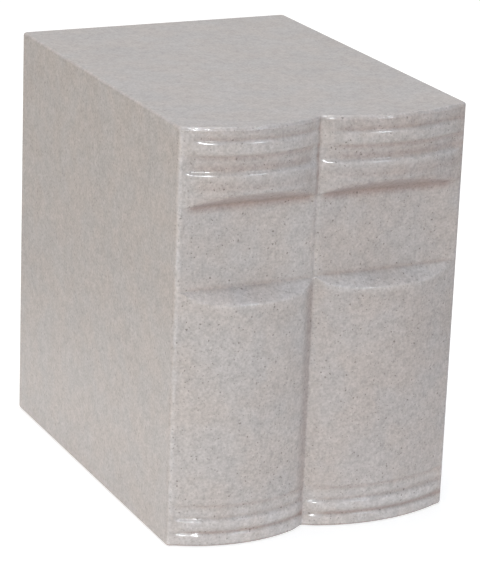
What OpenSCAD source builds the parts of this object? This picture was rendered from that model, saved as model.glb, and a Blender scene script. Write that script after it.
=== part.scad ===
// Cremation urn in the shape of two closed books standing side by side.
// A cast shell, open below, is closed by a plate bonded into a rebate in its underside.
// The spines face -Y, +Z is up, and the origin is the centre of the footprint, on the ground.

/* [Books] */
// Height of both books
urn_h = 240; // [200:1:320]
// Depth from the flat of the spines to the back
block_d = 230; // [160:1:300]
// Thickness of the left book
left_book_w = 83.5; // [60:0.5:120]
// Thickness of the right book
right_book_w = 91; // [60:0.5:120]
// How far the left spine bows out in front of the flat
left_rise = 11; // [7:0.5:16]
// How far the right spine bows out in front of the flat
right_rise = 10; // [7:0.5:16]
// Width of the flat strip between a cover's round edge and the bow
spine_land = 0.5; // [0.3:0.1:3]
// How far the two bows would overlap if the crease didn't part them
bow_overlap = 4; // [1:0.5:8]
// Depth of the crease between the books, behind the flat
crease_d = 0.8; // [0.4:0.1:2]

/* [Head of the spines] */
// Height of the band along the top edge
head_band_h = 6.8; // [4:0.1:10]
// Height of the rib below that band
head_rib_h = 8.9; // [5:0.1:14]
// Height of the hollow below the rib
head_hollow_h = 10.2; // [6:0.1:16]

/* [Foot of the spines] */
// Height of the band that stands on the ground
foot_band_h = 9.5; // [6:0.1:14]
// Height of the rib above that band
foot_rib_h = 6.6; // [5:0.1:12]
// Height of the hollow above the rib
foot_hollow_h = 8.2; // [6:0.1:16]

/* [Relief] */
// Depth of the grooves that bound the ribs
groove_d = 1.2; // [0.6:0.1:2.5]
// Depth of the two hollows
hollow_d = 1.7; // [0.8:0.1:3]
// Height of the sloped shoulder on top of each rib and band
shoulder_h = 2.6; // [1:0.1:4]
// Height of the undercut below each rib and band
undercut_h = 0.9; // [0.4:0.1:2]

/* [Label panels] */
// Height of the flat panels' lower edge above the ground
label_low = 148.5; // [90:0.5:160]
// Height of the flat panels
label_h = 46.5; // [30:0.5:70]
// Slope of the ledge below the panels, in degrees from level
ledge_angle = 31.5; // [15:0.5:45]
// Slope of the soffit above the panels, in degrees from level
soffit_angle = 35; // [15:0.5:45]

/* [Casting] */
// Thickness of the walls and the top
wall_t = 12.7; // [8:0.1:16]
// Radius of the upright corners of the chamber
chamber_r = 8; // [3:0.5:20]
// Radius of the covers' outer edges
edge_r = 2.5; // [1:0.1:5]
// Radius of the spines' top edge
spine_top_r = 3; // [1:0.1:5]
// Radius of the edges that meet the ground
foot_r = 1.5; // [0.5:0.1:2.5]

/* [Base plate] */
// Thickness of the base plate
plate_t = 12; // [8:0.5:20]
// Width of the rebate that holds the plate, all round the chamber
rebate_w = 6; // [3:0.5:9]
// How far the plate lies above the rim that the urn stands on
plate_inset = 1; // [0.5:0.1:3]
// Bond line around the edge of the plate
bond_gap = 0.3; // [0.1:0.1:0.8]

/* [Hidden] */
body_colour = "#c6bfb8";
plate_colour = "#b9b2ab";

arc_points = 6;
over = 5;

urn_w = left_book_w + right_book_w;
left_x = -urn_w / 2;
right_x = urn_w / 2;
crease_x = left_x + left_book_w;
full_rise = max(left_rise, right_rise);
centre_y = (block_d - full_rise) / 2;

foot_rib_z = foot_band_h + foot_rib_h;
foot_hollow_z = foot_rib_z + foot_hollow_h;
head_band_z = urn_h - head_band_h;
head_rib_z = head_band_z - head_rib_h;
head_hollow_z = head_rib_z - head_hollow_h;
label_high = label_low + label_h;

chamber_w = urn_w - 2 * wall_t;
chamber_d = block_d - 2 * wall_t;
rebate_h = plate_inset + plate_t;

// Radius of a circle whose arc stands this far above a chord of this width
function arc_radius(chord, rise) = (chord * chord / 4 + rise * rise) / (2 * rise);

// A change of the relief from one depth to another, as [depth, height] points
function relief_step(z, run, from, to) = [[from, z], [to, z + run]];

// Depth of the relief below the plain arc, as [depth, height] points from the ground up
spine_relief = concat(
    [for (i = [0:arc_points]) let (a = 90 * i / arc_points)
        [foot_r * (1 - sin(a)), foot_r * (1 - cos(a))]],
    relief_step(foot_band_h - shoulder_h, shoulder_h, 0, groove_d),
    relief_step(foot_band_h, undercut_h, groove_d, 0),
    relief_step(foot_rib_z - shoulder_h, shoulder_h, 0, hollow_d),
    relief_step(foot_hollow_z, undercut_h, hollow_d, 0),
    relief_step(head_hollow_z - shoulder_h, shoulder_h, 0, hollow_d),
    relief_step(head_rib_z, undercut_h, hollow_d, 0),
    relief_step(head_band_z - shoulder_h, shoulder_h, 0, groove_d),
    relief_step(head_band_z, undercut_h, groove_d, 0),
    [for (i = [0:arc_points]) let (a = 90 * i / arc_points)
        [spine_top_r * (1 - cos(a)), urn_h - spine_top_r * (1 - sin(a))]]
);

// Rectangle with round corners, centred on the origin
module round_rect(w, d, r) {
    square([w - 2 * r, d], center = true);
    square([w, d - 2 * r], center = true);
    for (sx = [-1, 1], sy = [-1, 1])
        translate([sx * (w / 2 - r), sy * (d / 2 - r)]) circle(r, $fn = 48);
}

// Side view of the block: round edges along the top, smaller ones along the ground
module edge_profile(low, high) {
    difference() {
        translate([low, 0]) square([high - low, urn_h]);
        for (m = [[low, 1], [high, -1]]) {
            translate([m[0], urn_h]) corner_waste(m[1], -1, edge_r);
            translate([m[0], 0]) corner_waste(m[1], 1, foot_r);
        }
    }
}

// What a round of radius r takes off a square corner; sx and sy point into the block
module corner_waste(sx, sy, r) {
    scale([sx, sy]) difference() {
        translate([-1, -1]) square(r + 1);
        translate([r, r]) circle(r, $fn = 48);
    }
}

// One bowed spine: the relief turned about the axis of its arc, cut to the book's thickness.
// The bow springs just inside the round of the cover's edge and runs a little past the crease.
module spine(side, book_w, rise) {
    foot = edge_r + spine_land;
    chord = book_w - foot + bow_overlap / 2;
    r = arc_radius(chord, rise);
    intersection() {
        translate([side * (urn_w / 2 - foot - chord / 2), r - rise, 0])
            rotate_extrude($fn = 180)
                polygon(concat([[0, 0]], [for (p = spine_relief) [r - p[0], p[1]]], [[0, urn_h]]));
        translate([side > 0 ? crease_x : left_x, -full_rise - over, 0])
            cube([book_w, full_rise + over + wall_t, urn_h]);
    }
}

// Everything in front of the flat label panels, between the ledge and the soffit
module label_waste() {
    front = full_rise + over;
    translate([left_x - 1, 0, 0]) rotate([90, 0, 90]) linear_extrude(urn_w + 2)
        polygon([
            [0, label_low],
            [-front, label_low - front * tan(ledge_angle)],
            [-front, label_high + front * tan(soffit_angle)],
            [0, label_high]
        ]);
}

// Groove of the crease between the two books, with sides at 45 degrees
module crease_waste() {
    open = crease_d + full_rise;
    translate([crease_x, crease_d, -1]) linear_extrude(urn_h + 2)
        polygon([[0, 0], [-open, -open], [open, -open]]);
}

// The outside of both books as one solid block
module books() {
    difference() {
        intersection() {
            union() {
                translate([left_x, 0, 0]) cube([urn_w, block_d, urn_h]);
                spine(-1, left_book_w, left_rise);
                spine(1, right_book_w, right_rise);
            }
            translate([0, block_d + 1, 0]) rotate([90, 0, 0])
                linear_extrude(block_d + full_rise + 2) edge_profile(left_x, right_x);
            translate([left_x - 1, 0, 0]) rotate([90, 0, 90])
                linear_extrude(urn_w + 2) edge_profile(-full_rise - 2 * over, block_d);
        }
        for (side = [-1, 1], end = [0, 1])
            translate([side * urn_w / 2, end * block_d, -1]) linear_extrude(urn_h + 2)
                corner_waste(-side, 1 - 2 * end, edge_r);
        label_waste();
        crease_waste();
    }
}

// Hollow for the ashes, and the rebate below it for the plate
module chamber() {
    translate([0, block_d / 2, 0]) {
        translate([0, 0, -1]) linear_extrude(urn_h - wall_t + 1)
            round_rect(chamber_w, chamber_d, chamber_r);
        translate([0, 0, -1]) linear_extrude(rebate_h + 1)
            round_rect(chamber_w + 2 * rebate_w, chamber_d + 2 * rebate_w, chamber_r);
    }
}

module urn_body() {
    color(body_colour) translate([0, -centre_y, 0]) difference() {
        books();
        chamber();
    }
}

module base_plate() {
    plate_grow = 2 * (rebate_w - bond_gap);
    color(plate_colour) translate([0, block_d / 2 - centre_y, plate_inset]) linear_extrude(plate_t)
        round_rect(chamber_w + plate_grow, chamber_d + plate_grow, chamber_r - bond_gap);
}

urn_body();
base_plate();
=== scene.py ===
import math
import bpy
import numpy as np
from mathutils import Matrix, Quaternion, Vector


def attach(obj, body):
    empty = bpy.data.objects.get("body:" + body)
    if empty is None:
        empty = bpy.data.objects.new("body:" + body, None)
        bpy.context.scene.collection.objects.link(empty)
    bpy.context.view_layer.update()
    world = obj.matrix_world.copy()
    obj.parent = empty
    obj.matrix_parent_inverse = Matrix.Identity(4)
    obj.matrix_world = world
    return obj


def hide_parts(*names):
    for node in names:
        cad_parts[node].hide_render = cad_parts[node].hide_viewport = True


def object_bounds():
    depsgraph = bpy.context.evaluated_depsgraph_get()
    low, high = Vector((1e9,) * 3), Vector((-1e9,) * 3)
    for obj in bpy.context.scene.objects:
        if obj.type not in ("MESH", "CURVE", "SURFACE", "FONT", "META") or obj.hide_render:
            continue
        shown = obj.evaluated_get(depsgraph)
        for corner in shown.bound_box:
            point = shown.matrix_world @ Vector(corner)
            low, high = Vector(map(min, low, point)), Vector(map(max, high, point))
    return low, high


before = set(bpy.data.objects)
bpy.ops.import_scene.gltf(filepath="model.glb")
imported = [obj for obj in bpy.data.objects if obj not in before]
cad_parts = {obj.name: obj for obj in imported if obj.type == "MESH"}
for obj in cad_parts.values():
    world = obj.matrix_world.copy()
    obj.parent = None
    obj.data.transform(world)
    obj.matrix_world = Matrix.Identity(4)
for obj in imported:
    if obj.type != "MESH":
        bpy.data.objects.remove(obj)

cadLow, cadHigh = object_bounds()
mm = 0.001
print("frame loaded")


# small helpers for surfaces

def lesser(a, b, width):
    # the smaller of a and b, less (width - |a - b|)^2 / (4 width) where they are closer than width,
    # which rounds the corner where they cross
    gap = np.clip(width - np.abs(a - b), 0, None)
    return np.minimum(a, b) - gap * gap / (4 * width)


def greater(a, b, width):
    # the larger of a and b, rounded the same way
    return -lesser(-a, -b, width)


def ease(x, start, end):
    # 0 before start, 1 after end, and 3t^2 - 2t^3 between
    t = np.clip((x - start) / (end - start), 0, 1)
    return t * t * (3 - 2 * t)


def band(x, start, full, end):
    # eases up from 0 at start to 1 at full, and down again to 0 at end
    return ease(x, start, full) * (1 - ease(x, full, end))


def spread(start, end, count, crowd):
    # count places from start to end, packed closer where crowd(x) is larger:
    # the running sum of crowd over fine steps is cut into equal shares
    fineSteps = 4000
    fine = np.linspace(start, end, fineSteps + 1)
    share = np.cumsum(crowd(fine))
    share = (share - share[0]) / (share[-1] - share[0])
    return np.interp(np.linspace(0, 1, count), share, fine)


def outward(x, y):
    # unit normals of a closed outline that runs anticlockwise: its tangent turned right
    tx = np.roll(x, -1) - np.roll(x, 1)
    ty = np.roll(y, -1) - np.roll(y, 1)
    length = np.hypot(tx, ty)
    return ty / length, -tx / length


def gridMesh(name, rings, firstPole, lastPole, marks):
    # rings is rows x columns x 3: each row is a closed loop, and neighbours are joined by quads.
    # The two poles close the first and the last loop with triangles. marks gives named
    # attributes, with one value for each point of the rings.
    rows, columns = rings.shape[:2]
    count = rows * columns
    points = np.vstack([rings.reshape(-1, 3), [firstPole], [lastPole]])
    here = np.arange(count).reshape(rows, columns)
    right = np.roll(here, -1, axis=1)
    quads = np.stack([here[:-1], here[1:], right[1:], right[:-1]], axis=-1).reshape(-1, 4)
    firstFan = np.stack([np.full(columns, count), here[0], right[0]], axis=-1)
    lastFan = np.stack([here[-1], np.full(columns, count + 1), right[-1]], axis=-1)
    mesh = bpy.data.meshes.new(name)
    mesh.from_pydata(points.tolist(), [], quads.tolist() + firstFan.tolist() + lastFan.tolist())
    mesh.update()
    mesh.polygons.foreach_set("use_smooth", np.ones(len(mesh.polygons), bool))
    for key, values in marks.items():
        padded = np.zeros(len(points), np.float32)
        padded[:values.size] = values.ravel()
        mesh.attributes.new(key, "FLOAT", "POINT").data.foreach_set("value", padded)
    piece = bpy.data.objects.new(name, mesh)
    bpy.context.scene.collection.objects.link(piece)
    return piece


# the urn: two books in one cast shell, in millimetres. A tone up to 1 is painted shade, darker in
# grooves and hollows, under soffits and by the crease, and a tone down to -1 is painted highlight on
# rounded edges

urnShell = {
    "leftBook": 83.5,  # thickness of the left book; the right one takes the rest
    "rise": (11.0, 10.0),  # how far each spine bows out of the flat, left and right
    "bowFoot": 3.0,  # from a cover's face to where its bow springs
    "bowPast": 2.0,  # how far each bow would run on past the crease
    "springRound": 1.2,  # easing where a bow leaves the flat
    # depth of the crease behind the flat (below 0: in front), width of its round tip, easing of its lips
    "crease": (-0.5, 1.8, 2.4),
    "panelCrease": (0.3, 0.9, 1.2),  # the same, between the label panels
    "bookBlend": 2.0,  # heights go over from one book's to the other's within this of the crease
    "ledgeFall": (1.0, 7.4, 3.0),  # fall of the ledge for each mm it stands out, the most, its easing
    "soffitSlope": 0.70,  # rise of the soffit over a panel for each mm it stands out
    "leastStep": 0.4,  # ledge and soffit fall and rise by at least this
    "grooveFade": (3, 15),  # the head groove deepens between these distances from a book's left edge
    "headLean": (0.5, 0.4),  # how far the head bands lean back at the top, left and right
    "cornerRound": 2.9,  # upright corners
    "coverTop": 1.6,  # round of the top edge along the covers and the back
    "spineTop": 1.4,  # round of the top edge along the spines
    "topBlend": (2, 9),  # the one goes over to the other between these distances from a cover's face
    "footRound": 1.5,  # round of the edge that meets the ground
    # painted shade and painted highlight on the crease's left flank and in its core: where each starts,
    # is full and ends across it
    "creaseFlank": (-8.0, -1.0, 1.5),
    "creaseCore": (-3.8, -0.8, 1.6),
    "creaseTone": (  # height, and the tones of the flank and of the core there
        (0, 0.30, 0.0),
        (140, 0.45, 0.0),
        (150, 0.05, 0.0),
        (196, 0.0, 0.2),
        (205, -1.2, 1.6),
        (240, -1.2, 1.4),
    ),
    # painted shade over the right book
    "rightTone": (0.1, 4),  # the right book is a touch darker, fully so this far past the crease
    # painted highlight on the strip down the left book's front edge, and how strong it is
    "frontStrip": (0, 1.0, 3.2),  # strip down the left book's front edge: starts, is full and ends
    "frontStripTone": -0.8,
    # the painted shade and highlight on ledges and soffits fades in with the bow
    "toneFoot": 4.0,  # soffits and ledges take their full tone where the bow stands this far out
    # painted shade under the foot's rim and inside
    "footTone": 0.5,  # under the rim and inside
    # painted highlight where the foot starts to round
    "footRimTone": -0.6,  # where the spines' foot starts to round
    "speckle": (1.0, 0.55, 0.35),  # how strongly the dark specks show: spines, sides and back, top
    "frontColumns": 200,
    "sideColumns": 36,
    "backColumns": 26,
    "cornerColumns": 7,
    "creaseCrowd": (3.2, 3.5),  # columns crowd at the crease: how much, and how far to each side
    "endCrowd": (1.2, 6),  # and at the covers
    "cornerMargin": 0.7,  # one line this close to each corner keeps the flat faces flat
    "topRows": 7,
    "footRows": 5,
    # loops across the top, as shares of the way from its middle to its rim
    "topShares": (0.03, 0.15, 0.35, 0.55, 0.75, 0.9, 0.97, 0.994),
}

# the turns of the spines' profile from the ground up: height on the left book and on the right,
# depth below the bow, the share of the bow that is kept (0 on the flat label panels), round of
# the turn, and its tone: painted shade above 0, painted highlight below 0
spineTurns = {
    "footShoulder": (6.2, 5.7, 0.0, 1, 0.9, -0.8),
    "footGroove": (7.7, 7.3, 1.4, 1, 0.9, 0.9),
    "footRibUnder": (10.8, 10.9, 0.0, 1, 1.2, -0.7),
    "footRibShoulder": (14.6, 14.2, 0.0, 1, 0.9, -0.9),
    "footHollowLow": (16.2, 15.8, 1.6, 1, 0.8, 0.35),
    "footHollowMiddle": (19.5, 19.5, 1.3, 1, 0.3, -0.35),
    "footHollowHigh": (23.6, 23.3, 1.0, 1, 0.7, 0.35),
    "bodyUnder": (25.2, 24.9, 0.0, 1, 1.0, 0.0),
    "bodyHigh": (138.0, 138.2, 0.0, 1, 0.3, 0.0),
    "ledgeEdge": (148.0, 148.8, 0.0, 1, 1.0, -1.0),
    "ledgeOuter": (148.0, 148.8, 0.0, 0.75, 0.3, -0.7),
    "ledgeInner": (148.0, 148.8, 0.0, 0.3, 0.3, -0.75),
    "panelLow": (148.0, 148.8, 0.0, 0, 0.5, 0.4),
    "panelLowFade": (150.6, 151.2, 0.0, 0, 0.3, 0.0),
    "panelHighFade": (190.4, 190.7, 0.0, 0, 0.3, 0.0),
    "panelHigh": (195.1, 195.4, 0.0, 0, 0.9, 1.0),
    "soffitEdge": (195.1, 195.7, 0.0, 1, 1.8, 0.35),
    "raisedLow": (203.6, 204.0, 0.0, 1, 0.3, 0.0),
    "raisedMiddle": (206.5, 207.0, 0.0, 1, 0.3, 0.3),
    "raisedHigh": (210.5, 210.8, 0.0, 1, 0.3, 0.08),
    "raisedShoulder": (213.4, 213.7, 0.0, 1, 1.1, -0.5),
    "headHollowLow": (215.2, 215.4, 1.7, 1, 0.8, 0.25),
    "headHollowFoot": (217.0, 217.2, 1.7, 1, 0.3, 0.5),
    "headHollowMiddle": (220.6, 220.4, 1.6, 1, 0.3, 0.1),
    "headHollowHigh": (223.5, 222.9, 1.5, 1, 0.9, 0.6),
    "headRibUnder": (225.4, 224.8, 0.0, 1, 1.2, -0.1),
    "headRibShoulder": (230.8, 230.0, 0.0, 1, 1.0, -0.45),
    "headGroove": (232.7, 231.9, 1.4, 1, 0.7, 0.5),
    "headBandUnder": (236.0, 235.6, 0.0, 1, 1.8, 0.05),
    "headBandMiddle": (238.2, 238.0, 0.0, 1, 0.3, 0.15),
}

chamber = {
    "wall": 12.7,
    "cornerRound": 8.0,
    "ceilingRound": 5.0,
    "rebateWidth": 6.0,
    "rebateHeight": 13.0,
    "lip": 0.5,  # small round on the rebate's lower edge
    "margins": (0.3, 0.5),  # lines this close to the seat's edges and over its inner edge keep them crisp
    "lipRows": 4,
    "ceilingRows": 6,
    "roofShares": (0.97, 0.7, 0.35, 0.05),  # loops across the ceiling, as for the top
}

left, right = cadLow.x / mm, cadHigh.x / mm
back, top = cadHigh.y / mm, cadHigh.z / mm
flat = cadLow.y / mm + max(urnShell["rise"])  # the plane that the spines bow out of
creaseX = left + urnShell["leftBook"]


def planOutline(urn):
    # the rounded rectangle round both books without the bows, anticlockwise from the front left:
    # four straight runs with a quarter circle between each two
    r = urn["cornerRound"]
    creaseMore, creaseReach = urn["creaseCrowd"]
    endMore, endReach = urn["endCrowd"]

    def crowd(x):
        # 1, plus a bell curve exp(-(distance / reach)^2) at the crease and at each cover
        nearCrease = np.exp(-((x - creaseX) / creaseReach) ** 2)
        nearEnds = np.exp(-((x - left) / endReach) ** 2) + np.exp(-((x - right) / endReach) ** 2)
        return 1 + creaseMore * nearCrease + endMore * nearEnds

    def straight(start, end, count):
        # equal steps, and one line more close to each end
        inner = np.linspace(0, 1, count)
        margin = urn["cornerMargin"] / abs(end - start)
        return start + (end - start) * np.concatenate([[0, margin], inner[1:-1], [1 - margin, 1]])

    def corner(centreX, centreY, start):
        # centre plus r times cosine and sine over a quarter turn, without its two ends
        a = np.radians(start + np.linspace(0, 90, urn["cornerColumns"] + 2)[1:-1])
        return centreX + r * np.cos(a), centreY + r * np.sin(a)

    frontX = spread(left + r, right - r, urn["frontColumns"], crowd)
    sideY = straight(flat + r, back - r, urn["sideColumns"])
    backX = straight(right - r, left + r, urn["backColumns"])
    parts = [
        (frontX, np.full_like(frontX, flat)),
        corner(right - r, flat + r, -90),
        (np.full_like(sideY, right), sideY),
        corner(right - r, back - r, 0),
        (backX, np.full_like(backX, back)),
        corner(left + r, back - r, 90),
        (np.full_like(sideY, left), sideY[::-1]),
        corner(left + r, flat + r, 180),
    ]
    x = np.concatenate([part[0] for part in parts])
    y = np.concatenate([part[1] for part in parts])
    return x, y


def bowHeight(urn, x, depth):
    # how far the spine stands out of the flat at x, never below it: a circle's arc of radius R less
    # the depth of relief, sqrt((R - depth)^2 - across^2) - (R - rise)
    height = np.zeros_like(x)
    for side, rise in enumerate(urn["rise"]):
        mine = (x < creaseX) if side == 0 else (x >= creaseX)
        start = left + urn["bowFoot"] if side == 0 else creaseX - urn["bowPast"]
        end = creaseX + urn["bowPast"] if side == 0 else right - urn["bowFoot"]
        chord = end - start
        radius = (chord * chord / 4 + rise * rise) / (2 * rise)
        across = x - (start + end) / 2
        arc = np.sqrt(np.clip((radius - depth) ** 2 - across ** 2, 0, None)) - (radius - rise)
        height = np.where(mine, arc, height)
    return greater(height, 0, urn["springRound"])


def underValley(height, x, crease):
    # the lesser of a height and the crease's valley, whose sides rise at 45 degrees from a round
    # tip: sqrt(across^2 + tip^2) - tip - depth
    depth, tip, lips = crease
    valley = np.sqrt((x - creaseX) ** 2 + tip ** 2) - tip - depth
    return lesser(height, valley, lips)


def spineHeight(urn, x, depth, kept=1):
    # from the flat panels out to the bow by the share that is kept, with the crease cut into both
    panel = underValley(np.zeros_like(x), x, urn["panelCrease"])
    bow = underValley(bowHeight(urn, x, depth), x, urn["crease"])
    return panel + (bow - panel) * kept


def topRound(urn, x, onFront):
    # the round along the top: the spines' own, eased to the covers' at the corners
    inward = np.minimum(x - left, right - x)
    share = np.where(onFront, ease(inward, *urn["topBlend"]), 0)
    return urn["coverTop"] + (urn["spineTop"] - urn["coverTop"]) * share


def stationLines(urn, x, onFront):
    # height over the flat, height over the ground and tone (painted shade above 0, painted highlight
    # below 0) of each turn of the spines' profile, as arrays of turns x columns, and the turns'
    # rounds. Ledges fall and soffits rise with the bow
    rightShare = ease(x, creaseX - urn["bookBlend"], creaseX + urn["bookBlend"])
    plain = np.where(onFront, spineHeight(urn, x, 0.0), 0)
    slope, most, easing = urn["ledgeFall"]
    fall = lesser(slope * plain, most, easing)
    least = urn["leastStep"]
    fromLeft = x - np.where(x < creaseX, left, creaseX)
    fade = ease(fromLeft, *urn["grooveFade"])
    deepening = ease(plain, 0, urn["toneFoot"])
    out, up = [plain], [np.full_like(x, urn["footRound"])]
    rounds, tones = [0], [np.full_like(x, urn["footRimTone"])]
    for name, (zLeft, zRight, depth, kept, turnRound, tone) in spineTurns.items():
        z = zLeft + (zRight - zLeft) * rightShare
        if name == "bodyHigh":
            z = z + (most - fall)
        if name.startswith("ledge"):
            z = z - kept * np.maximum(least, fall)
        if name == "soffitEdge":
            z = z + np.maximum(least, urn["soffitSlope"] * plain)
        if name == "headGroove":
            depth = depth * fade
        shown = deepening if kept == 0 or tone < 0 else fade
        out.append(np.where(onFront, spineHeight(urn, x, depth, kept), 0))
        up.append(z)
        rounds.append(turnRound)
        tones.append(np.where(onFront, tone * shown, 0))
    leanLeft, leanRight = urn["headLean"]
    lean = leanLeft + (leanRight - leanLeft) * rightShare
    out.append(np.where(onFront, spineHeight(urn, x, lean), 0))
    up.append(top - topRound(urn, x, onFront))
    rounds.append(0)
    tones.append(np.zeros_like(x))
    return np.array(out), np.array(up), np.array(tones), rounds


def softenedLines(out, up, tones, rounds):
    # the profile with each turn T replaced by a parabola's arc, (1 - t)^2 A + 2t(1 - t) T + t^2 B,
    # between A and B on the two legs beside it, and lines close beside the arcs; the tones are
    # carried along with the two places
    mostOfLeg = 0.45  # an arc takes at most this share of a leg
    beside, besideShare = 0.5, 0.3  # lines lie this far from an arc, or at this share of a short gap
    longest = 9  # a longer gap gets lines in between
    turn = np.stack([out, up, tones], axis=1)
    leg = np.linalg.norm(np.diff(turn[:, :2], axis=0), axis=1)
    lines, leaving = [turn[0]], turn[0]
    for k in range(1, len(turn)):
        last = k == len(turn) - 1
        arriving = turn[k]
        if not last:
            reach = np.minimum(rounds[k], mostOfLeg * leg[k - 1]) / leg[k - 1]
            arriving = turn[k] + (turn[k - 1] - turn[k]) * reach
        gap = np.linalg.norm((arriving - leaving)[:2], axis=0)
        near = np.minimum(beside, besideShare * gap) / gap
        between = max(0, int(round(gap.max() / longest)) - 1)
        middle = [np.full_like(gap, share) for share in np.linspace(0, 1, between + 2)[1:-1]]
        lines += [leaving + (arriving - leaving) * share for share in [near, *middle, 1 - near]]
        lines.append(arriving)
        if not last:
            reach = np.minimum(rounds[k], mostOfLeg * leg[k]) / leg[k]
            leaving = turn[k] + (turn[k + 1] - turn[k]) * reach
            for t in (0.25, 0.5, 0.75):
                lines.append((1 - t) ** 2 * arriving + 2 * t * (1 - t) * turn[k] + t * t * leaving)
            lines.append(leaving)
    lines = np.array(lines)
    return lines[:, 0], lines[:, 1], lines[:, 2]


def toneOf(urn, x, up, tones, onFront):
    # the sum of the turns' painted shade and highlight, the bands of it across the crease, painted
    # shade over the right book and a painted highlight strip down the front edge, held between -1 and 1
    across = x - creaseX
    heights, flankTones, coreTones = zip(*urn["creaseTone"])
    for places, strengths in ((urn["creaseFlank"], flankTones), (urn["creaseCore"], coreTones)):
        tones = tones + band(across, *places) * np.interp(up, heights, strengths)
    rightTone, rightFull = urn["rightTone"]
    tones = tones + rightTone * ease(across, 0, rightFull)
    strip = band(x - left, *urn["frontStrip"]) * urn["frontStripTone"]
    return np.where(onFront, np.clip(tones + strip, -1, 1), 0)


def roundOver(x, y, r, degrees, level, way):
    # rings over a round edge of radius r: at each angle a in by r(1 - cos a) along the normal, and
    # r(1 - sin a) short of the level, below it for way 1 and above it for way -1
    normalX, normalY = outward(x, y)
    rings = []
    for a in np.radians(degrees):
        inset = r * (1 - math.cos(a))
        z = level - way * (r - r * math.sin(a))
        rings.append([x - normalX * inset, y - normalY * inset, np.broadcast_to(z, x.shape)])
    return np.moveaxis(np.array(rings), 1, -1)


def onRoundedRect(x, y, halfX, halfY, centreY, r):
    # the nearest point of a rounded rectangle's edge: out from the core rectangle by r
    coreX = np.clip(x, -(halfX - r), halfX - r)
    coreY = np.clip(y - centreY, -(halfY - r), halfY - r)
    awayX, awayY = x - coreX, y - centreY - coreY
    away = np.hypot(awayX, awayY)
    return coreX + awayX / away * r, centreY + coreY + awayY / away * r


def insideRings(inside, x, y):
    # from the rim in over the lip, up the rebate, along the plate's seat, up the walls and round
    # into the ceiling: each ring is the chamber's rounded rectangle, grown and lifted
    halfX = (right - left) / 2 - inside["wall"]
    halfY, centreY = (back - flat) / 2 - inside["wall"], (back + flat) / 2
    lip, rebate, corner = inside["lip"], inside["rebateWidth"], inside["cornerRound"]
    seat, (seatMargin, wallMargin) = inside["rebateHeight"], inside["margins"]
    ceiling, r = top - inside["wall"], inside["ceilingRound"]
    steps = []
    for a in np.radians(np.linspace(0, 90, inside["lipRows"])):
        steps.append((rebate + lip * (1 - math.sin(a)), corner, lip * (1 - math.cos(a))))
    steps += [
        (rebate, corner, seat - seatMargin),
        (rebate, corner, seat),
        (seatMargin, corner, seat),
        (0, corner, seat),
        (0, corner, seat + wallMargin),
    ]
    for a in np.radians(np.linspace(0, 90, inside["ceilingRows"])):
        inset = r * (1 - math.cos(a))
        steps.append((-inset, corner - inset, ceiling - r + r * math.sin(a)))
    rings = []
    for grow, cornerRound, z in steps:
        ringX, ringY = onRoundedRect(x, y, halfX + grow, halfY + grow, centreY, cornerRound)
        rings.append(np.stack([ringX, ringY, np.full_like(ringX, z)], axis=-1))
    middle = np.array([0, centreY, ceiling])
    roof = [middle + (rings[-1] - middle) * share for share in inside["roofShares"]]
    return np.array(rings + roof), middle


def buildShell(urn, inside):
    # closed loops from the middle of the top, over its edge, down the wall, round the foot and up
    # inside to the middle of the ceiling
    x, y = planOutline(urn)
    onFront = y < flat + urn["cornerRound"]
    out, up, tones = softenedLines(*stationLines(urn, x, onFront))
    wallX, wallY = np.broadcast_to(x, out.shape), y - out
    wall = np.stack([wallX, wallY, up], axis=-1)[::-1]  # top to foot

    topDegrees = np.linspace(90, 0, urn["topRows"] + 1)[:-1]
    edge = roundOver(wallX[-1], wallY[-1], topRound(urn, x, onFront), topDegrees, top, 1)
    topMiddle = np.array([0, (flat + back) / 2, top])
    shares = np.array(urn["topShares"])[:, None, None]
    topFace = topMiddle + (edge[0] - topMiddle) * shares
    topFace[..., 2] = top

    footDegrees = np.linspace(0, 90, urn["footRows"] + 1)[1:]
    foot = roundOver(wallX[0], wallY[0], urn["footRound"], footDegrees, 0, -1)
    inner, roofMiddle = insideRings(inside, x, y)

    rings = np.concatenate([topFace, edge, wall, foot, inner]) * mm
    first = len(topFace) + len(edge)
    # painted shade and highlight for each point: from the wall's turns, bands and strip, painted shade on
    # the foot and inside, none on the top
    tone = np.zeros(rings.shape[:2])
    tone[first:first + len(wall)] = toneOf(urn, x, up, tones, onFront)[::-1]
    tone[first + len(wall):] = urn["footTone"]
    onSpines, onSides, onTop = urn["speckle"]
    speckle = np.full(rings.shape[:2], onTop)
    speckle[len(topFace):] = np.where(onFront, onSpines, onSides)
    marks = {"tone": tone, "speckle": speckle}
    piece = gridMesh("urnShell", rings, topMiddle * mm, roofMiddle * mm, marks)
    print("urn shell:", len(piece.data.vertices), "points,", len(piece.data.polygons), "faces")
    return piece


shell = buildShell(urnShell, chamber)
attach(shell, "root")
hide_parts("urn_body")
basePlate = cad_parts["base_plate"]


# finishes: a node's place is only where it lies in the node editor

def addNode(tree, kind, place, settings=None, inputs=None):
    # one node with its settings, and its inputs either linked or given a value
    made = tree.nodes.new(kind)
    made.location = place
    for key, value in (settings or {}).items():
        setattr(made, key, value)
    for key, value in (inputs or {}).items():
        if isinstance(value, bpy.types.NodeSocket):
            tree.links.new(value, made.inputs[key])
        else:
            made.inputs[key].default_value = value
    return made


def calc(tree, place, operation, *values):
    # one operation of arithmetic on the values
    inputs = dict(enumerate(values))
    return addNode(tree, "ShaderNodeMath", place, {"operation": operation}, inputs).outputs[0]


def vectorCalc(tree, place, operation, inputs):
    # the same on vectors
    return addNode(tree, "ShaderNodeVectorMath", place, {"operation": operation}, inputs).outputs[0]


def blendColours(tree, place, share, a, b, mode="MIX"):
    # a(1 - share) + b share, or a times b, by the share, where mode is MULTIPLY
    settings = {"data_type": "RGBA", "blend_type": mode}
    return addNode(tree, "ShaderNodeMix", place, settings, {0: share, 6: a, 7: b}).outputs[2]


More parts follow.
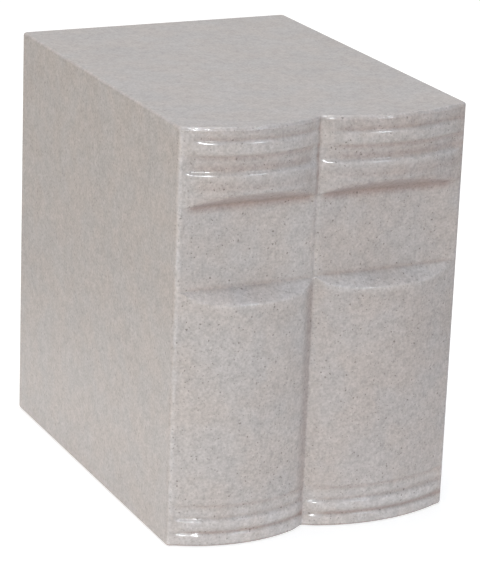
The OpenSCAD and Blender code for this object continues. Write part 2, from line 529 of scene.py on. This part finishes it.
def rangeOf(tree, place, value, fromLow, fromHigh, toLow, toHigh, smooth=False):
    # value carried from one range to the other, straight or eased, and held within it
    settings = {"interpolation_type": "SMOOTHSTEP" if smooth else "LINEAR", "clamp": True}
    inputs = {0: value, 1: fromLow, 2: fromHigh, 3: toLow, 4: toHigh}
    return addNode(tree, "ShaderNodeMapRange", place, settings, inputs).outputs[0]


def specks(tree, place, coords, cell, share, size, soft):
    # round specks in some cells of a Voronoi pattern: a cell's random number sets its speck's radius,
    # and the edge is eased over soft to each side. All but share, a share of the cells, are in mm
    inputs = {"Vector": coords, "Scale": 1 / (cell * mm)}
    cells = addNode(tree, "ShaderNodeTexVoronoi", place, {"feature": "F1"}, inputs)
    x, y = place
    draw = addNode(tree, "ShaderNodeSeparateColor", (x + 180, y), {}, {0: cells.outputs["Color"]})
    radius = rangeOf(tree, (x + 360, y), draw.outputs[0], 1 - share, 1, -soft / cell, size / cell)
    inner = calc(tree, (x + 540, y), "SUBTRACT", radius, cells.outputs["Distance"])
    return rangeOf(tree, (x + 720, y), inner, -soft / cell, soft / cell, 0, 1, smooth=True)


# the dials of the grain, shared by the shell and the plate: name, kind and value
stoneInputs = (
    ("Body", "NodeSocketColor", (0.5, 0.47, 0.44, 1)),
    ("Speck", "NodeSocketColor", (0.2, 0.17, 0.15, 1)),
    ("Fleck", "NodeSocketColor", (0.75, 0.72, 0.7, 1)),
    # the next two tints paint shade into hollows and a highlight onto rounded edges, set by the tone
    ("Painted Shade Tint", "NodeSocketColor", (0.8, 0.75, 0.73, 1)),
    ("Painted Highlight Tint", "NodeSocketColor", (1.1, 1.1, 1.1, 1)),
    # tone above 0 is painted shade and below 0 painted highlight
    ("Tone", "NodeSocketFloat", 0.0),
    ("Speck Field", "NodeSocketFloat", 1.0),
    ("Grain", "NodeSocketFloat", 0.1),
    ("Speck Strength", "NodeSocketFloat", 0.5),
    ("Fleck Strength", "NodeSocketFloat", 0.3),
    ("Drift", "NodeSocketFloat", 0.05),
)
stoneOutputs = (
    ("Colour", "NodeSocketColor"),
    ("Height", "NodeSocketFloat"),
    ("Sheen", "NodeSocketFloat"),
)

# sizes within the stone, in millimetres
stoneGrain = {
    # size of the features, octaves of detail in them and roughness of that detail
    "fine": (1.5, 2, 0.6),
    "coarse": (4.5, 3, 0.6),
    "drift": (34, 3, 0.5),
    "tintDrift": (22, 2, 0.5),
    "ragged": (1.0, 1, 0.5),
    "raggedBy": 1.3,  # how far the specks' outlines are pushed about
    # the part of each noise's values that is stretched over its whole range
    "grainRange": (0.25, 0.75),
    "driftRange": (0.3, 0.7),
    "tintRange": (0.35, 0.65),
    "coarseShare": 0.7,  # the coarse grain counts this much of the fine one
    "tints": ((1.016, 1.0, 0.985, 1), (0.985, 1.0, 1.012, 1)),  # warm and cool ends of the tint
    # distance between specks, share of the places that have one, largest radius, softness of the edge
    "bigSpecks": (2.3, 0.6, 0.56, 0.18),
    "smallSpecks": (1.3, 0.8, 0.38, 0.16),
    "paleFlecks": (2.0, 0.6, 0.6, 0.25),
    "smallShare": 0.7,  # the small specks are fainter by this
    "bumpShare": 0.7,  # how much of the coarse grain shows in the surface
    "sheenShare": 0.4,  # how much of the fine grain shows in the gloss
}


def makeStoneGroup(sizes):
    # cast stone: a pale body with fine grain, dark specks, pale flecks and slow drifts of tint,
    # with painted shade and painted highlight laid on by the tone
    tree = bpy.data.node_groups.new("castStoneGrain", "ShaderNodeTree")
    for name, kind, value in stoneInputs:
        tree.interface.new_socket(name, in_out="INPUT", socket_type=kind).default_value = value
    for name, kind in stoneOutputs:
        tree.interface.new_socket(name, in_out="OUTPUT", socket_type=kind)
    given = addNode(tree, "NodeGroupInput", (-1200, 0)).outputs
    coords = addNode(tree, "ShaderNodeTexCoord", (-1600, 400)).outputs["Object"]

    def noise(place, feature, detail, roughness, output=0):
        # soft random values from 0 to 1, with features this many mm wide
        inputs = {"Vector": coords, "Scale": 1 / (feature * mm), "Detail": detail, "Roughness": roughness}
        return addNode(tree, "ShaderNodeTexNoise", place, {}, inputs).outputs[output]

    # body times 1 + grain + drift, and times a tint that drifts between warm and cool
    fine = noise((-1000, 600), *sizes["fine"])
    coarse = noise((-1000, 350), *sizes["coarse"])
    drift = noise((-1000, 100), *sizes["drift"])
    tintDrift = noise((-1000, -150), *sizes["tintDrift"])
    coarseMost = sizes["coarseShare"]
    fineGrain = rangeOf(tree, (-700, 600), fine, *sizes["grainRange"], -1, 1)
    coarseGrain = rangeOf(tree, (-700, 350), coarse, *sizes["grainRange"], -coarseMost, coarseMost)
    slow = rangeOf(tree, (-700, 100), drift, *sizes["driftRange"], -1, 1)
    grain = calc(tree, (-500, 500), "ADD", fineGrain, coarseGrain)
    grainShare = calc(tree, (-300, 500), "MULTIPLY", grain, given["Grain"])
    driftShare = calc(tree, (-300, 300), "MULTIPLY", slow, given["Drift"])
    lift = calc(tree, (-100, 400), "ADD", grainShare, driftShare)
    level = calc(tree, (80, 400), "ADD", lift, 1.0)
    shade = addNode(tree, "ShaderNodeCombineColor", (240, 400), {}, dict.fromkeys(range(3), level))
    body = blendColours(tree, (420, 300), 1.0, given["Body"], shade.outputs[0], "MULTIPLY")
    tint = rangeOf(tree, (-700, -150), tintDrift, *sizes["tintRange"], 0, 1, smooth=True)
    tintColour = blendColours(tree, (-300, -100), tint, *sizes["tints"])
    body = blendColours(tree, (600, 200), 1.0, body, tintColour, "MULTIPLY")

    # specks take ragged outlines from coordinates pushed about by a fine noise
    push = noise((-1400, -600), *sizes["ragged"], output="Color")
    push = vectorCalc(tree, (-1250, -600), "SUBTRACT", {0: push, 1: (0.5, 0.5, 0.5)})
    push = vectorCalc(tree, (-1100, -600), "SCALE", {0: push, "Scale": sizes["raggedBy"] * mm})
    ragged = vectorCalc(tree, (-1050, -500), "ADD", {0: coords, 1: push})
    bigSpecks = specks(tree, (-900, -400), ragged, *sizes["bigSpecks"])
    smallSpecks = specks(tree, (-900, -650), ragged, *sizes["smallSpecks"])
    paleFlecks = specks(tree, (-900, -900), ragged, *sizes["paleFlecks"])
    smallShare = calc(tree, (0, -600), "MULTIPLY", smallSpecks, sizes["smallShare"])
    dark = calc(tree, (180, -500), "MAXIMUM", bigSpecks, smallShare)
    darkShare = calc(tree, (360, -500), "MULTIPLY", dark, given["Speck Strength"])
    darkShare = calc(tree, (540, -500), "MULTIPLY", darkShare, given["Speck Field"])
    paleShare = calc(tree, (360, -800), "MULTIPLY", paleFlecks, given["Fleck Strength"])
    colour = blendColours(tree, (780, 100), paleShare, body, given["Fleck"])
    colour = blendColours(tree, (960, 0), darkShare, colour, given["Speck"])

    # painted shade where tones are above 0, which darken, and painted highlight where they
    # are below 0, which pale
    paintedShade = rangeOf(tree, (900, -500), given["Tone"], 0, 1, 0, 1)
    paintedHighlight = rangeOf(tree, (900, -700), given["Tone"], -1, 0, 1, 0)
    colour = blendColours(tree, (1140, 0), paintedShade, colour, given["Painted Shade Tint"], "MULTIPLY")
    colour = blendColours(tree, (1300, 0), paintedHighlight, colour, given["Painted Highlight Tint"], "MULTIPLY")

    grainHeight = calc(tree, (420, -300), "MULTIPLY", coarse, sizes["bumpShare"])
    height = calc(tree, (600, -300), "ADD", grainHeight, drift)
    grainSheen = calc(tree, (420, -450), "MULTIPLY", fine, sizes["sheenShare"])
    sheen = calc(tree, (600, -500), "ADD", grainSheen, dark)
    addNode(tree, "NodeGroupOutput", (1500, 0), {}, {"Colour": colour, "Height": height, "Sheen": sheen})
    return tree


stoneGroup = makeStoneGroup(stoneGrain)


def stoneMaterial(name, look):
    # the stone's grain under a clear polish: the colour as it comes, the roughness by the sheen
    # between low and high, and a fine bump
    material = bpy.data.materials.new(name)
    material.use_nodes = True
    tree = material.node_tree
    shader = tree.nodes["Principled BSDF"]
    grain = addNode(tree, "ShaderNodeGroup", (-700, 100), {"node_tree": stoneGroup})
    for key, kind, value in stoneInputs:
        grain.inputs[key].default_value = look.get(key, value)
    # the tone mark carries the painted shade and highlight; the speckle mark how strongly specks show
    if look["toned"]:
        for row, (attribute, socket) in enumerate((("tone", "Tone"), ("speckle", "Speck Field"))):
            mark = addNode(tree, "ShaderNodeAttribute", (-950, -200 * row), {"attribute_name": attribute})
            tree.links.new(mark.outputs["Fac"], grain.inputs[socket])
    low, high = look["roughness"]
    rough = rangeOf(tree, (-350, -50), grain.outputs["Sheen"], *look["sheenRange"], low, high)
    relief = {
        "Strength": look["bump"],
        "Distance": look["bumpDepth"] * mm,
        "Height": grain.outputs["Height"],
    }
    bump = addNode(tree, "ShaderNodeBump", (-350, -350), {}, relief)
    tree.links.new(grain.outputs["Colour"], shader.inputs["Base Color"])
    tree.links.new(rough, shader.inputs["Roughness"])
    tree.links.new(bump.outputs[0], shader.inputs["Normal"])
    shader.inputs["IOR"].default_value = look["ior"]
    shader.inputs["Specular IOR Level"].default_value = look["specular"]
    shader.inputs["Coat Weight"].default_value = look["coat"]
    shader.inputs["Coat Roughness"].default_value = look["coatRoughness"]
    return material


glossStone = {
    "Body": (0.500, 0.464, 0.464, 1),
    "Speck": (0.19, 0.165, 0.155, 1),
    "Fleck": (0.68, 0.655, 0.635, 1),
    # brownish painted shade in grooves, hollows, under soffits and at the crease
    "Painted Shade Tint": (0.74, 0.63, 0.60, 1),
    # pale, cool painted highlight on rounded edges
    "Painted Highlight Tint": (1.17, 1.19, 1.21, 1),
    "Grain": 0.17,
    "Speck Strength": 0.72,
    "Fleck Strength": 0.35,
    "Drift": 0.025,
    # toned pieces carry the painted shade and highlight and the speckle marks
    "toned": True,  # whether the piece carries marks of tone and speckle
    "roughness": (0.3, 0.42),  # from here to there as the sheen goes through its range
    "sheenRange": (0.1, 0.9),
    "ior": 1.5,
    "specular": 0.1,
    "coat": 1.0,
    "coatRoughness": 0.13,
    "bump": 0.05,
    "bumpDepth": 0.3,  # in millimetres
}
plateStone = dict(
    glossStone, Body=(0.45, 0.42, 0.39, 1), Grain=0.16, toned=False,
    roughness=(0.45, 0.6), coat=0.0, bump=0.12,
)

shell.data.materials.append(stoneMaterial("glossCastStone", glossStone))
basePlate.data.materials.clear()
basePlate.data.materials.append(stoneMaterial("satinCastStone", plateStone))
print("finishes made")


# floor, light and camera, in metres

studio = {
    "floorReach": 10.0,  # from the middle of the sheet to its corners
    "floorGap": 0.0002,  # it lies a hair under the rim, so the two don't share a plane
    "floorColour": (0.60, 0.60, 0.60, 1),
    "floorRoughness": 0.9,
    "floorSpecular": 0.1,
    "floorLift": 0.6,  # light added to the sheet as it is seen, which makes it white
    "floorGlow": 0.32,  # light that the sheet throws up at the stone from the middle
    "glowReach": (0.10, 0.50),  # that glow fades between these distances from the middle
    "surround": 0.46,  # strength of the light from all round
    "surroundColour": (1.0, 0.99, 0.96, 1),
}


def floorMaterial(setup):
    # paper that is lifted to white where it is seen, with its shadow left in, and clear from below,
    # so that the underside can be looked at
    material = bpy.data.materials.new("floorPaper")
    material.use_nodes = True
    tree = material.node_tree
    shader = tree.nodes["Principled BSDF"]
    shader.inputs["Base Color"].default_value = setup["floorColour"]
    shader.inputs["Roughness"].default_value = setup["floorRoughness"]
    shader.inputs["Specular IOR Level"].default_value = setup["floorSpecular"]
    shader.inputs["Emission Color"].default_value = (1, 1, 1, 1)
    seen = addNode(tree, "ShaderNodeLightPath", (-500, 300)).outputs["Is Camera Ray"]
    place = addNode(tree, "ShaderNodeTexCoord", (-900, 0)).outputs["Object"]
    out = addNode(tree, "ShaderNodeVectorMath", (-700, 0), {"operation": "LENGTH"}, {0: place})
    near, far = setup["glowReach"]
    glow = rangeOf(tree, (-500, 0), out.outputs["Value"], near, far, setup["floorGlow"], 0, smooth=True)
    lift = addNode(tree, "ShaderNodeMix", (-300, 300), {}, {0: seen, 2: glow, 3: setup["floorLift"]})
    tree.links.new(lift.outputs[0], shader.inputs["Emission Strength"])
    below = addNode(tree, "ShaderNodeNewGeometry", (0, 500)).outputs["Backfacing"]
    clear = addNode(tree, "ShaderNodeBsdfTransparent", (0, 200)).outputs[0]
    sides = {0: below, 1: shader.outputs[0], 2: clear}
    either = addNode(tree, "ShaderNodeMixShader", (300, 300), {}, sides)
    tree.links.new(either.outputs[0], tree.nodes["Material Output"].inputs["Surface"])
    return material


def buildFloor(setup):
    # one wide sheet, a single triangle with its corners on a circle
    reach, low = setup["floorReach"], -setup["floorGap"]
    mesh = bpy.data.meshes.new("floorSheet")
    corners = [(reach * math.sin(a), -reach * math.cos(a), low) for a in np.radians([60, 180, 300])]
    mesh.from_pydata(corners, [], [(0, 1, 2)])
    mesh.materials.append(floorMaterial(setup))
    sheet = bpy.data.objects.new("floorSheet", mesh)
    bpy.context.scene.collection.objects.link(sheet)


def buildWorld(setup):
    # even light from all round, which is plain white where it is seen
    world = bpy.data.worlds.new("studioWorld")
    bpy.context.scene.world = world
    world.use_nodes = True
    tree = world.node_tree
    background = tree.nodes["Background"]
    seen = addNode(tree, "ShaderNodeLightPath", (-600, 200)).outputs["Is Camera Ray"]
    colour = blendColours(tree, (-300, 100), seen, setup["surroundColour"], (1, 1, 1, 1))
    strength = rangeOf(tree, (-300, -100), seen, 0, 1, setup["surround"], 1)
    tree.links.new(colour, background.inputs["Color"])
    tree.links.new(strength, background.inputs["Strength"])


# name: place, width and height, watts, colour, and what it does: "fill" only lights the stone,
# "glint" is only mirrored in the polish, and "both" does both
lamps = {
    "sideWindow": ((-1.08, -1.58, 0.45), (0.9, 0.6), 11.7, (1.0, 0.88, 0.64), "fill"),
    "frontWindow": ((-0.52, -1.54, 1.15), (0.5, 0.4), 7.0, (0.48, 0.70, 1.0), "fill"),
    "glintLeft": ((-0.81, -1.46, 1.25), (0.07, 0.045), 13.0, (0.90, 0.96, 1.0), "glint"),
    "glintRight": ((-0.50, -1.52, 1.25), (0.07, 0.045), 12.0, (0.90, 0.96, 1.0), "glint"),
    "coolWindow": ((0.72, -1.66, 1.45), (0.42, 0.06), 6.0, (0.80, 0.90, 1.0), "glint"),
    "overhead": ((0, 0.1, 2.0), (0.8, 0.8), 10.8, (0.90, 0.94, 1.0), "both"),
    "highSide": ((-1.6, 0.5, 1.7), (1.0, 1.0), 4.3, (1.0, 0.74, 0.50), "fill"),
    "backFill": ((-0.3, 1.4, 1.6), (1.2, 1.2), 7.5, (1.0, 0.95, 0.82), "fill"),
}
lampTarget = (0, -0.1, 0.12)


def buildLamps(table, target):
    # each lamp is a flat panel of light that faces the target
    for name, (place, size, watts, colour, work) in table.items():
        lamp = bpy.data.lights.new(name, "AREA")
        lamp.shape = "RECTANGLE"
        lamp.size, lamp.size_y = size
        lamp.energy = watts
        lamp.color = colour
        holder = bpy.data.objects.new(name, lamp)
        holder.visible_glossy = work != "fill"
        holder.visible_diffuse = work != "glint"
        holder.location = place
        holder.rotation_mode = "QUATERNION"
        holder.rotation_quaternion = (Vector(place) - Vector(target)).to_track_quat("Z", "Y")
        bpy.context.scene.collection.objects.link(holder)


cameraSetup = {
    "aim": (0.0050, -0.0004, 0.1101),
    "azimuth": -26.18,
    "elevation": 18.31,
    "roll": 2.24,
    "distance": 1.563,
    "lens": 169.1,  # lens and sensor in millimetres
    "sensor": 36,
    "clip": (0.05, 30),  # nearest and farthest that it sees
}


def buildCamera(setup):
    # stands on a sphere round the aim point, looks at it, and leans by the roll
    a, e = math.radians(setup["azimuth"]), math.radians(setup["elevation"])
    away = Vector((math.sin(a) * math.cos(e), -math.cos(a) * math.cos(e), math.sin(e)))
    data = bpy.data.cameras.new("viewCamera")
    data.sensor_width = setup["sensor"]
    data.lens = setup["lens"]
    data.clip_start, data.clip_end = setup["clip"]
    camera = bpy.data.objects.new("viewCamera", data)
    camera.location = Vector(setup["aim"]) + away * setup["distance"]
    camera.rotation_mode = "QUATERNION"
    lean = Quaternion((0, 0, 1), math.radians(setup["roll"]))
    camera.rotation_quaternion = away.to_track_quat("Z", "Y") @ lean
    bpy.context.scene.collection.objects.link(camera)
    bpy.context.scene.camera = camera


buildFloor(studio)
buildWorld(studio)
buildLamps(lamps, lampTarget)
buildCamera(cameraSetup)
bpy.context.scene.view_settings.view_transform = "Standard"
print("studio set")

bpy.context.view_layer.update()
